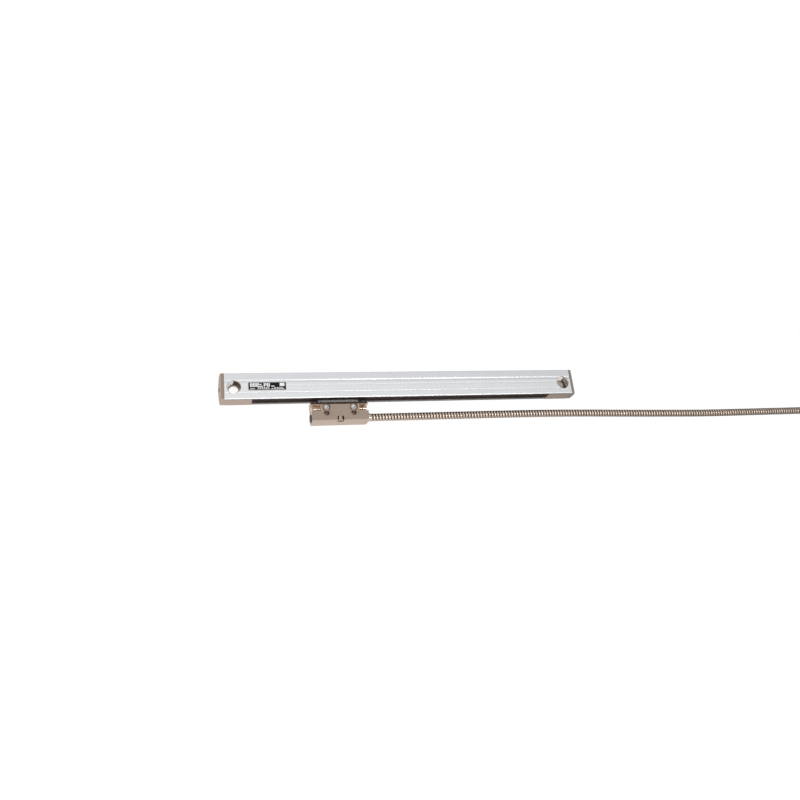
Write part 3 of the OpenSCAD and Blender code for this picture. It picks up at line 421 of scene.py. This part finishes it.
def build_hood():
    """Two die-cast half shells with a parting line, grips, sunk panels and cross-head screws."""
    verts, faces = [], []
    for sign in (1, -1):
        stack([(softened(HOOD_OUTLINE, inset), sign * z) for inset, z in LID_RINGS[::sign]],
              verts, faces)
        stack([(softened(HOOD_MIDDLE, inset, 0.3), sign * z)
               for inset, z in MIDDLE_RINGS[::sign]], verts, faces)
        wall, hole = (rectangle(*sorted((sign * near, sign * far)), -half, half)
                      for near, far, half in (WALL, WALL_HOLE))
        frame_round(wall, hole, *WALL_X, verts, faces, turn=lambda a, b, c: (c, a, b))
        add_ribs(sign, verts, faces)
    stack([(softened(HOOD_MIDDLE, LINE_INSET, 0.3), z) for z in (-LINE_HALF, LINE_HALF)],
          verts, faces)
    shell_faces = len(faces)
    for sign in (1, -1):
        for y in (-SCREW_Y, SCREW_Y):
            add_screw(sign, y, verts, faces)
    # it looks along -X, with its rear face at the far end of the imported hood
    (_, low_y, low_z), (rear, high_y, high_z) = box_mm("connector_hood")
    y, z = (low_y + high_y) / 2, (low_z + high_z) / 2
    placed = [(rear - a, y - b, z + c) for a, b, c in verts]
    finishes = [0] * shell_faces + [1] * (len(faces) - shell_faces)
    piece = make_piece("hood_half_shells", placed, faces, HEAD, finishes)
    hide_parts("connector_hood")
    return piece


label = build_label()
straps = build_straps()
hood = build_hood()
conduit = build_conduit()


# ---- values and nodes ----

class Value:
    """A number that changes over a surface. An expression on values adds its Math nodes."""

    def __init__(self, graph, socket):
        self.graph, self.socket = graph, socket

    def math(self, operation, *others, first=None):
        inputs = [self if first is None else first, *others]
        return self.graph.node("ShaderNodeMath", {"operation": operation},
                               dict(enumerate(inputs)))

    def __add__(self, other): return self.math("ADD", other)
    def __radd__(self, other): return self.math("ADD", self, first=other)
    def __sub__(self, other): return self.math("SUBTRACT", other)
    def __rsub__(self, other): return self.math("SUBTRACT", self, first=other)
    def __mul__(self, other): return self.math("MULTIPLY", other)
    def __rmul__(self, other): return self.math("MULTIPLY", self, first=other)
    def __truediv__(self, other): return self.math("DIVIDE", other)
    def __rtruediv__(self, other): return self.math("DIVIDE", self, first=other)
    def above(self, edge): return self.math("GREATER_THAN", edge)
    def below(self, edge): return self.math("LESS_THAN", edge)
    def between(self, low, high): return self.above(low) * self.below(high)
    def wave(self): return self.math("SINE")
    def part(self): return self.math("FRACT")
    def size(self): return self.math("ABSOLUTE")
    def least(self, other): return self.math("MINIMUM", other)
    def most(self, other): return self.math("MAXIMUM", other)

    def ease(self, low, high):
        """0 up to low, 1 from high on and smooth between."""
        return self.graph.node("ShaderNodeMapRange", {"interpolation_type": "SMOOTHSTEP"},
                               {"Value": self, "From Min": low, "From Max": high})


class Graph:
    """A node tree whose sockets take constants and values alike."""

    def __init__(self, tree):
        self.tree = tree

    def node(self, kind, settings=None, inputs=None, output=0):
        made = self.tree.nodes.new(kind)
        for name, value in (settings or {}).items():
            setattr(made, name, value)
        for name, value in (inputs or {}).items():
            self.put(made.inputs[name], value)
        return Value(self, made.outputs[output])

    def put(self, socket, value):
        if isinstance(value, Value):
            self.tree.links.new(value.socket, socket)
        elif socket.type == "RGBA" and len(value) == 3:
            socket.default_value = (*value, 1)
        else:
            socket.default_value = value

    def split(self, vector, name):
        return self.node("ShaderNodeSeparateXYZ", inputs={0: vector}, output=name)

    def mix(self, share, a, b):
        """Colour a at share 0 and b at share 1. The node has its colours at 6, 7 and out at 2."""
        return self.node("ShaderNodeMix", {"data_type": "RGBA"}, {0: share, 6: a, 7: b}, output=2)


class Finish(Graph):
    """A material of one Principled shader; its changing inputs are built from values."""

    def __init__(self, name, **constants):
        self.material = bpy.data.materials.new(name)
        self.material.use_nodes = True
        super().__init__(self.material.node_tree)
        self.shader = self.tree.nodes["Principled BSDF"]
        self.place = self.node("ShaderNodeTexCoord", output="Object")  # in metres
        self.set(**constants)

    def set(self, **inputs):
        """Shader sockets by their names in lower case with lines for spaces."""
        names = {s.name.lower().replace(" ", "_"): s for s in self.shader.inputs}
        for name, value in inputs.items():
            self.put(names[name], value)
        return self

    def axis(self, name):
        """One coordinate of the place, in millimetres."""
        return self.split(self.place, name) * (1 / MM)

    def facing(self, name):
        """One coordinate of the surface's direction."""
        return self.split(self.node("ShaderNodeTexCoord", output="Normal"), name)

    def grains(self, size_mm, stretch=(1, 1, 1)):
        """The place counted in grains, for a texture of scale 1."""
        scale = tuple(k / MM / size_mm for k in stretch)
        return self.node("ShaderNodeVectorMath", {"operation": "MULTIPLY"},
                         {0: self.place, 1: scale})

    def noise(self, size_mm, stretch=(1, 1, 1), detail=3, rough=0.5):
        """Cloudy variation of about that grain size, 0 to 1."""
        return self.node("ShaderNodeTexNoise", {}, {
            "Vector": self.grains(size_mm, stretch), "Scale": 1,
            "Detail": detail, "Roughness": rough})

    def to_cell_edge(self, size_mm):
        """How far the place is from the nearest border of irregular cells, in cells."""
        return self.node("ShaderNodeTexVoronoi", {"feature": "DISTANCE_TO_EDGE"},
                         {"Vector": self.grains(size_mm), "Scale": 1})

    def bump(self, height, depth_mm):
        """Relief of that depth where height goes from 0 to 1."""
        return self.set(normal=self.node("ShaderNodeBump", {}, {
            "Height": height, "Strength": 1.0, "Distance": depth_mm * MM}))


# ---- finishes ----

(_, SLOT_EDGE, _), (_, _, FRONT) = box_mm("housing")
(HEAD_LEFT, _, _), (HEAD_RIGHT, _, _) = box_mm("head_block")
HEAD_X = (HEAD_LEFT + HEAD_RIGHT) / 2
BORE_X = MOUNTS["housing_bolts"]["dims"]["spacing_x_mm"] / 2
HEAD_HOLE_Y = round(MOUNTS["head_bolts"]["pos_m"][1] / MM, 2)
HEAD_HOLE_X = MOUNTS["head_bolts"]["dims"]["spacing_x_mm"] / 2  # from the head's middle
SEAT_R, SEAT_TOP = 6.2, 13.4
BELOW_ALL, ABOVE_ALL = -1, 99
# towards the side of a seat that is toned as if lit
LIT_X, LIT_Y = -0.93, 0.37
# the main flute of the profile, and where its upper band begins
FLUTE_Y, UPPER_Y = 4.9, 7
# between these distances from the middle lie the inner ends of the end blocks
INNER_ENDS = (120, 146)
# the head's screw pockets: least distance from its middle, middle, half height and floor
POCKET_X, POCKET_Y, POCKET_HALF, POCKET_Z = 16.6, -20.7, 3.1, 7.8


def drawn_profile():
    """Clear anodised extrusion: fine die lines along X and a soft, even sheen."""
    f = Finish("clear_anodised", metallic=0.9, ior=1.5)
    lines = f.noise(0.35, (0.012, 1, 1), detail=4, rough=0.65)
    broad = f.noise(3.0, (0.01, 1, 1), detail=2)
    cloud = f.noise(14)
    y, z = f.axis("Y"), f.axis("Z")
    # painted shade along the main flute and the upper band, a painted highlight along the slot
    # edge, and painted shade on the rails' own edges
    flute = 1 - (y - FLUTE_Y).size().ease(0.5, 1.9)
    edge = (1 - (y - (SLOT_EDGE + 0.4)).size().ease(0.2, 0.9)) * z.above(FRONT - 1)
    upper = y.ease(UPPER_Y - 0.5, UPPER_Y + 0.5) * 0.35
    share = lines * 0.4 + broad * 0.3 + cloud * 0.1 - upper + edge * 0.6 - flute * 0.7
    drawn = f.mix(share.most(0).least(1), (0.80, 0.802, 0.812), (1.0, 0.995, 0.99))
    # the rails' faces that look into the slot get painted shade
    rail_shade = y.below(SLOT_EDGE + 0.1) * f.facing("Y").below(-0.6)
    f.set(base_color=f.mix(rail_shade, drawn, (0.2, 0.185, 0.18)),
          roughness=0.34 + lines * 0.12 + cloud * 0.06 - (flute + edge) * 0.1)
    return f.bump(lines * 0.7 + broad * 0.6, 0.012)


def near_axis(f, x, y, radius, low=BELOW_ALL, high=ABOVE_ALL, lit=None):
    """1 inside a round hole along Z between two heights, past lit on its lit side if given."""
    dx, dy = f.axis("X") - x, f.axis("Y") - y
    inside = (dx * dx + dy * dy).below(radius * radius) * f.axis("Z").between(low, high)
    return inside if lit is None else inside * (dy * LIT_Y + dx * LIT_X).above(lit)


def satin_nickel(name, shade, lit_side_gain, zones):
    """Tumbled, nickel-plated casting, with its sides that face along Y painted lighter, as if lit.
    Each zone has its places, as near_axis takes them, and there one tone, roughness and metallic
    share."""
    f = Finish(name)
    grain = f.noise(0.22, detail=4, rough=0.6)
    cloud = f.noise(5, detail=4, rough=0.6)
    x, y, z = f.axis("X"), f.axis("Y"), f.axis("Z")
    dark, light, lit_side_tone = ([share * c for c in tone] for share, tone in (
        (shade, (0.415, 0.32, 0.26)), (shade, (0.565, 0.44, 0.36)),
        (shade * lit_side_gain, (0.49, 0.385, 0.32))))
    colour = f.mix(grain * 0.35 + cloud * 0.65, dark, light)
    # faces along Y get painted light: a brighter copy of the casting's tone
    colour = f.mix(f.facing("Y").size().above(0.6), colour, lit_side_tone)
    # the end blocks' inner ends get painted shade, and the head's two screw pockets painted light
    inner = f.facing("X").size().above(0.7) * x.size().between(*INNER_ENDS)
    pocket_light = ((x - HEAD_X).size().above(POCKET_X) * (y - POCKET_Y).size().below(POCKET_HALF)
              * z.above(POCKET_Z))
    colour = f.mix(inner, colour, (0.06, 0.045, 0.035))
    colour = f.mix(pocket_light, colour, (0.93, 0.78, 0.66))
    rough, metallic = 0.36 + grain * 0.12 + cloud * 0.08, 1.0
    for places, zone_tone, zone_rough, zone_metallic in zones:
        inside = near_axis(f, *places[0])
        for place in places[1:]:
            inside = inside.most(near_axis(f, *place))
        colour = f.mix(inside * (0.85 + cloud * 0.15), colour, zone_tone)
        rough = rough + inside * (zone_rough - rough)
        metallic = metallic + inside * (zone_metallic - metallic)
    f.set(base_color=colour, roughness=rough, metallic=metallic)
    return f.bump(grain, 0.014)


def lip_rubber():
    """Black rubber with dust drawn out along the slot."""
    f = Finish("lip_rubber", specular_ior_level=0.18, specular_tint=(1, 0.66, 0.62, 1))
    dust = f.noise(0.5, (0.05, 1, 1), detail=4, rough=0.7)
    cloud = f.noise(7)
    f.set(base_color=f.mix(dust * cloud * 2, (0.010, 0.005, 0.004), (0.046, 0.030, 0.028)),
          roughness=0.62 + dust * 0.2)
    return f.bump(dust, 0.02)


def turned_metal(name, colour, dark, rough, size=0.12):
    """Small turned or pressed fasteners: fine tool marks and a little tarnish."""
    f = Finish(name, metallic=1.0)
    marks = f.noise(size, detail=5, rough=0.7)
    cloud = f.noise(1.6)
    f.set(base_color=f.mix(cloud * 0.7 + marks * 0.3, dark, colour),
          roughness=rough + marks * 0.14)
    return f.bump(marks, 0.006)


def ground_steel():
    """Steel ground along X."""
    f = Finish("ground_steel", metallic=1.0)
    lines = f.noise(0.12, (0.04, 1, 1), detail=4, rough=0.7)
    f.set(base_color=f.mix(lines, (0.62, 0.60, 0.58), (0.80, 0.78, 0.76)),
          roughness=0.3 + lines * 0.2)
    return f.bump(lines, 0.004)


def clear_glass():
    """Clear glass with a faint haze."""
    f = Finish("clear_glass", base_color=(0.93, 0.97, 0.96), ior=1.52, transmission_weight=1.0)
    haze = f.noise(9)
    return f.set(roughness=0.015 + haze * 0.03)


def chrome_film(line_pitch=0.04):
    """Line grating under a protective film: the finest lines blend into an even grey."""
    f = Finish("chrome_film", metallic=1.0)
    lines = (f.axis("X") * (2 * math.pi / line_pitch)).wave()
    return f.set(base_color=f.mix(lines * 0.5 + 0.5, (0.28, 0.28, 0.3), (0.62, 0.62, 0.64)),
                 roughness=0.2 + lines * 0.04)


def label_film():
    """Satin black film under the print."""
    f = Finish("label_film", specular_ior_level=0.12)
    grain = f.noise(0.16)
    cloud = f.noise(6, detail=2)
    f.set(base_color=f.mix(cloud, (0.008, 0.006, 0.006), (0.02, 0.016, 0.015)),
          roughness=0.28 + grain * 0.14)
    return f.bump(grain, 0.006)


def print_white():
    """Pale ink, a little uneven."""
    f = Finish("print_white")
    ink = f.noise(0.3, detail=4, rough=0.7)
    f.set(base_color=f.mix(ink, (0.80, 0.78, 0.76), (0.98, 0.96, 0.95)),
          roughness=0.45 + ink * 0.15)
    return f.bump(ink, 0.005)


def circuit_board():
    """Green lacquer over glass weave, with tracks showing through."""
    f = Finish("circuit_board", specular_ior_level=0.5)
    tracks = f.to_cell_edge(1.1).below(0.09)
    weave = (f.axis("X") * 9).wave() * (f.axis("Y") * 9).wave() * 0.5 + 0.5
    lacquer = f.mix(weave, (0.012, 0.075, 0.035), (0.018, 0.10, 0.05))
    f.set(base_color=f.mix(tracks, lacquer, (0.06, 0.24, 0.12)), roughness=0.3 + weave * 0.1)
    return f.bump(tracks, 0.03)


def fine_plastic(name, dark, light, rough=0.45):
    """Moulded or painted pieces: a fine grain and light scuffs."""
    f = Finish(name)
    grain = f.noise(0.25, rough=0.6)
    scuff = f.noise(3.5, detail=4, rough=0.7)
    f.set(base_color=f.mix(scuff, dark, light), roughness=rough + grain * 0.16)
    return f.bump(grain, 0.02)


def strap_weave(threads_per_mm=5.2):
    """Black webbing: a fine plain weave that has greyed a little on its ridges."""
    f = Finish("strap_weave", sheen_weight=0.3)
    across = f.axis("X") * threads_per_mm
    up = f.axis("Z") * threads_per_mm + f.axis("Y") * threads_per_mm
    weave = across.wave() * up.wave() * 0.5 + 0.5
    fuzz = f.noise(0.4, detail=4, rough=0.7)
    f.set(base_color=f.mix(weave * 0.6 + fuzz * 0.4, (0.010, 0.010, 0.011), (0.05, 0.049, 0.048)),
          roughness=0.7 + fuzz * 0.2)
    return f.bump(weave * 0.7 + fuzz * 0.3, 0.12)


def flex_film(track_pitch=0.7):
    """Amber film with copper tracks."""
    f = Finish("flex_film", coat_weight=0.2)
    tracks = ((f.axis("X") / track_pitch).part() - 0.5).size().above(0.24)
    f.set(base_color=f.mix(tracks, (0.36, 0.15, 0.03), (0.60, 0.28, 0.07)),
          roughness=0.25 + tracks * 0.1)
    return f.bump(tracks, 0.03)


def conduit_steel():
    """Interlocked strip, rolled bright on its crowns, with painted shade on its sides that face
    along +Y and -Y.
    """
    f = Finish("conduit_steel", metallic=1.0)
    rolled = f.noise(0.3, detail=4, rough=0.65)
    cloud = f.noise(9)
    y = f.facing("Y")
    # painted shade: faces turned towards +Y and towards -Y are darkened
    side_shade = y.ease(0.3, 0.8) * 0.65 + (y * -1).ease(0.6, 0.97) * 0.45
    steel = f.mix(rolled * 0.4 + cloud * 0.6, (0.50, 0.39, 0.315), (0.90, 0.745, 0.63))
    f.set(base_color=f.mix(side_shade, steel, (0.20, 0.155, 0.125)), roughness=0.16 + rolled * 0.14)
    return f.bump(rolled, 0.01)


def seam_grime():
    """The seam between two turns of the strip, painted dark as the shade in its crevice and partly
    as oily grime.
    """
    f = Finish("seam_grime", metallic=0.7)
    dirt = f.noise(0.5, detail=4, rough=0.7)
    f.set(base_color=f.mix(dirt, (0.035, 0.024, 0.018), (0.10, 0.075, 0.06)),
          roughness=0.5 + dirt * 0.2)
    return f.bump(dirt, 0.02)


def die_cast_hood():
    """The grey die casting of the connector's hood."""
    f = Finish("die_cast_hood", metallic=0.85)
    grain = f.noise(0.3, detail=4, rough=0.65)
    cloud = f.noise(7)
    f.set(base_color=f.mix(cloud * 0.6 + grain * 0.4, (0.34, 0.335, 0.33), (0.50, 0.495, 0.49)),
          roughness=0.42 + grain * 0.15)
    return f.bump(grain, 0.03)


LEFT_SEAT, RIGHT_SEAT = (-BORE_X, 0, SEAT_R), (BORE_X, 0, SEAT_R)
BLOCK_ZONES = [
    # the seats are painted light, as a brighter reflection, with painted shade as a dark band in
    # their depth
    ([(*LEFT_SEAT, BELOW_ALL, SEAT_TOP), (*RIGHT_SEAT, BELOW_ALL, SEAT_TOP)],
     (0.58, 0.485, 0.415), 0.25, 1),
    ([(*LEFT_SEAT, 6.6, 10.2), (*RIGHT_SEAT, 7, 9.6)], (0.10, 0.075, 0.06), 0.35, 1),
    # their sides towards the key lamp and the foot of the left bore are toned as if lit
    ([(*LEFT_SEAT, 9.6, SEAT_TOP, 2.3), (*RIGHT_SEAT, 8.6, SEAT_TOP, 0)],
     (1, 0.99, 0.98), 0.3, 0),
    ([(*LEFT_SEAT, BELOW_ALL, 4.2)], (1, 0.99, 0.97), 0.12, 1),
    # the right flange gets painted shade, darker than the rest
    ([(185, 0, 27)], (0.34, 0.30, 0.26), 0.45, 1)]
# the head's two mounting holes are painted dark inside, as shade
HEAD_ZONES = [([(HEAD_X + side * HEAD_HOLE_X, HEAD_HOLE_Y, 2.6) for side in (1, -1)],
               (0.26, 0.17, 0.11), 0.5, 1)]

# by material slot
FINISHES = {
    "profile": drawn_profile(),
    "casting": satin_nickel("satin_nickel", 0.78, 1.15, BLOCK_ZONES),
    "black_rubber": lip_rubber(),
    "steel_screw": turned_metal("plain_steel", (0.66, 0.66, 0.67), (0.46, 0.46, 0.47), 0.25),
    "black_steel": turned_metal("black_oxide", (0.10, 0.09, 0.08), (0.045, 0.04, 0.04), 0.32),
    "zinc_screw": turned_metal("yellow_zinc", (0.66, 0.54, 0.45), (0.46, 0.36, 0.29), 0.2),
    "scale_glass": clear_glass(),
    "cushion": fine_plastic("glass_bedding", (0.42, 0.40, 0.36), (0.55, 0.53, 0.49), 0.5),
    "graduation_metal": chrome_film(),
    "label": label_film(),
    "circuit_board": circuit_board(),
    "ground_steel": ground_steel(),
    "black_plastic": fine_plastic("black_plastic", (0.012, 0.012, 0.013), (0.035, 0.034, 0.033)),
    "nickel": turned_metal("bright_nickel", (0.78, 0.75, 0.70), (0.60, 0.57, 0.52), 0.14, 0.3),
    "carriage_metal": fine_plastic("black_anodised", (0.02, 0.02, 0.022), (0.04, 0.04, 0.043),
                                   0.35),
    "flex_film": flex_film(),
    "white_plastic": fine_plastic("white_plastic", (0.72, 0.72, 0.70), (0.82, 0.82, 0.80), 0.35),
    "conduit_steel": conduit_steel(),
    "connector_metal": die_cast_hood(),
    "connector_inner": fine_plastic("contact_insert", (0.03, 0.03, 0.032), (0.05, 0.05, 0.053),
                                    0.4),
}
# by node, where a piece differs from the others in its slot
OWN_FINISHES = {
    "head_block": satin_nickel("satin_nickel_head", 0.87, 1.25, HEAD_ZONES),
    "exit_plug": fine_plastic("plug_plastic", (0.020, 0.014, 0.012), (0.05, 0.037, 0.032), 0.5),
    "conduit_ferrule": turned_metal("ferrule", (0.84, 0.72, 0.62), (0.46, 0.37, 0.30), 0.14, 0.3),
    "arm_clamp_screws": turned_metal("bright_zinc", (0.72, 0.70, 0.70), (0.40, 0.38, 0.37), 0.2),
}
SLOT_OF = {row["node"]: row["material_slot"] for row in frame["record"]["subparts"]}


def dress(piece, *finishes):
    piece.data.materials.clear()
    for finish in finishes:
        piece.data.materials.append(finish.material)
    if piece.name in face_finishes:
        piece.data.polygons.foreach_set("material_index", face_finishes[piece.name])


for name, node in NODES.items():
    dress(node, OWN_FINISHES.get(name, FINISHES[SLOT_OF[name]]))
dress(conduit, FINISHES["conduit_steel"], seam_grime())
dress(label, FINISHES["label"], print_white())
dress(straps, strap_weave())
dress(hood, FINISHES["connector_metal"], FINISHES["steel_screw"])


# ---- stage and light ----

FLOOR_REACH, FLOOR_Z = 6, -0.0002  # in metres
# how brightly the floor glows to the camera and, at most and at least, in metal
GLOW, MIRRORED_MOST, MIRRORED_LEAST = 1.08, 1.12, 0.42
GLOW_SHARE = 0.85  # beside its own shading
# in metal it dims from this X on, by so much for each millimetre, and between these two Y
DIM_FROM_X, DIM_BY, DIM_Y = -60, 0.00205, (120, 420)


def build_stage():
    """A white floor that glows to the camera and in metal, where it ends in a darker room."""
    mesh = bpy.data.meshes.new("floor")
    corners = rectangle(-FLOOR_REACH, FLOOR_REACH, -FLOOR_REACH, FLOOR_REACH)
    mesh.from_pydata([(x, y, FLOOR_Z) for x, y in corners], [], [(0, 1, 2, 3)])
    floor = bpy.data.objects.new("floor", mesh)
    bpy.context.scene.collection.objects.link(floor)
    f = Finish("white_floor", base_color=(0.86, 0.86, 0.86), roughness=0.9,
               specular_ior_level=0.0)
    to_camera, in_metal = (f.node("ShaderNodeLightPath", output=name)
                           for name in ("Is Camera Ray", "Is Glossy Ray"))
    # the sweep is lit from the left and ends at the back, so the floor in metal dims both ways
    mirrored = MIRRORED_MOST - (f.axis("X") - DIM_FROM_X) * DIM_BY
    mirrored = mirrored.most(MIRRORED_LEAST).least(MIRRORED_MOST)
    mirrored = mirrored * (1 - f.axis("Y").ease(*DIM_Y) * 0.7)
    glow = f.node("ShaderNodeEmission", {}, {
        "Strength": to_camera * GLOW + (1 - to_camera) * mirrored})
    surface = f.node("ShaderNodeMixShader", {}, {
        0: to_camera.most(in_metal) * GLOW_SHARE, 1: Value(f, f.shader.outputs[0]), 2: glow})
    f.put(f.tree.nodes["Material Output"].inputs["Surface"], surface)
    mesh.materials.append(f.material)


def soft_box(name, place, size, power):
    """A rectangular lamp, in metres and watts, that looks at the middle of the scale."""
    data = bpy.data.lights.new(name, "AREA")
    data.shape, data.size, data.size_y, data.energy = "RECTANGLE", *size, power
    lamp = bpy.data.objects.new(name, data)
    bpy.context.scene.collection.objects.link(lamp)
    lamp.location = place
    lamp.rotation_mode = "QUATERNION"
    lamp.rotation_quaternion = (-Vector(place)).to_track_quat("-Z", "Y")


def build_light():
    """A pale surrounding, a large key from the front left and three small lamps for metal."""
    world = bpy.data.worlds.new("studio")
    bpy.context.scene.world = world
    world.use_nodes = True
    g = Graph(world.node_tree)
    backdrop = g.tree.nodes["Background"]
    towards = g.node("ShaderNodeTexCoord", output="Generated")
    x, y, z = (g.split(towards, axis) for axis in "XYZ")
    # a dark room shows low down behind the sweep and dims the right
    behind = y.ease(0.15, 0.6) * (1 - z.ease(0.12, 0.5)) * 0.55
    right = x.ease(0.2, 0.7) * (1 - z.ease(0.5, 0.95)) * 0.45
    to_camera = g.node("ShaderNodeLightPath", output="Is Camera Ray")
    g.put(backdrop.inputs["Color"], g.mix(to_camera, (0.96, 0.98, 1.0), (1, 1, 1)))
    g.put(backdrop.inputs["Strength"],
          to_camera + (1 - to_camera) * (0.77 - (behind + right)).most(0.1))
    soft_box("key", (-0.8, -1.5, 1.0), (2.6, 1.8), 9)
    soft_box("side", (-1.5, 0.2, 0.25), (0.8, 0.4), 4)
    soft_box("top", (0.35, -0.5, 1.4), (0.6, 0.25), 5)
    soft_box("fill", (-0.6, 1.2, 1.3), (1.0, 0.8), 1.3)


build_stage()
build_light()

bpy.context.scene.view_settings.view_transform = "Standard"
